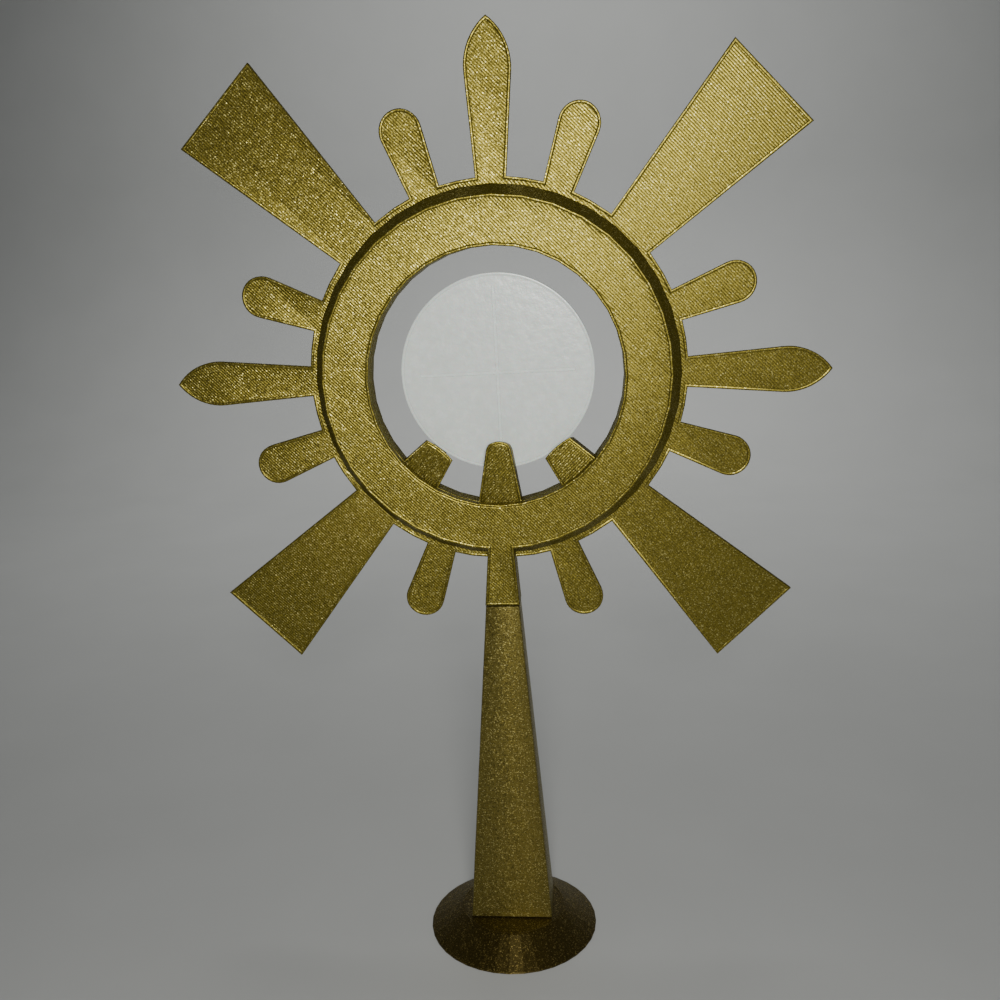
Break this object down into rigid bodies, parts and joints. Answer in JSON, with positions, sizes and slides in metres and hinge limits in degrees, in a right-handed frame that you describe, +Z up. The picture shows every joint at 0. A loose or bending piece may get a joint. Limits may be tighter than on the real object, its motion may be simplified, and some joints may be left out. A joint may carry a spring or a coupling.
{
  "type": "monstrance",
  "caption": "Small printed monstrance: a sunburst of rays round a raised ring that shows a white host, on a tapered stem and a low round foot.",
  "frame": {"origin": "centre of the foot's flat underside, where it rests on the table", "axes": "+Z up along the stem, the sunburst's front and the host face -Y, +X to the right seen from the front"},
  "size_m": [0.104, 0.03, 0.1512],
  "materials": {
    "gold_glitter": "gold glitter filament, printed in fine lines, satin with sparkle",
    "dark_gold": "dark gold glitter filament, printed, satin",
    "white": "white filament, smooth, faintly glossy"
  },
  "bodies": {
    "foot": {"foot": "dark_gold", "foot_dowel": "dark_gold"},
    "stem": {"stem": "gold_glitter", "neck_dowel": "gold_glitter"},
    "head": {"sunburst_plate": "gold_glitter", "ring_frame": "gold_glitter", "lunette_ring": "gold_glitter", "rear_crescent": "gold_glitter"},
    "host": {"host": "white"}
  },
  "joints": [
    {"name": "stem_turn", "type": "hinge", "parent": "foot", "child": "stem", "pos_m": [0, 0, 0.0039], "axis": [0, 0, 1], "continuous": true},
    {"name": "head_turn", "type": "hinge", "parent": "stem", "child": "head", "pos_m": [0, 0, 0.0621], "axis": [0, 0, 1], "continuous": true},
    {"name": "host_lift", "type": "slide", "parent": "head", "child": "host", "axis": [0, 0, 1], "range_m": [0, 0.02]}
  ]
}
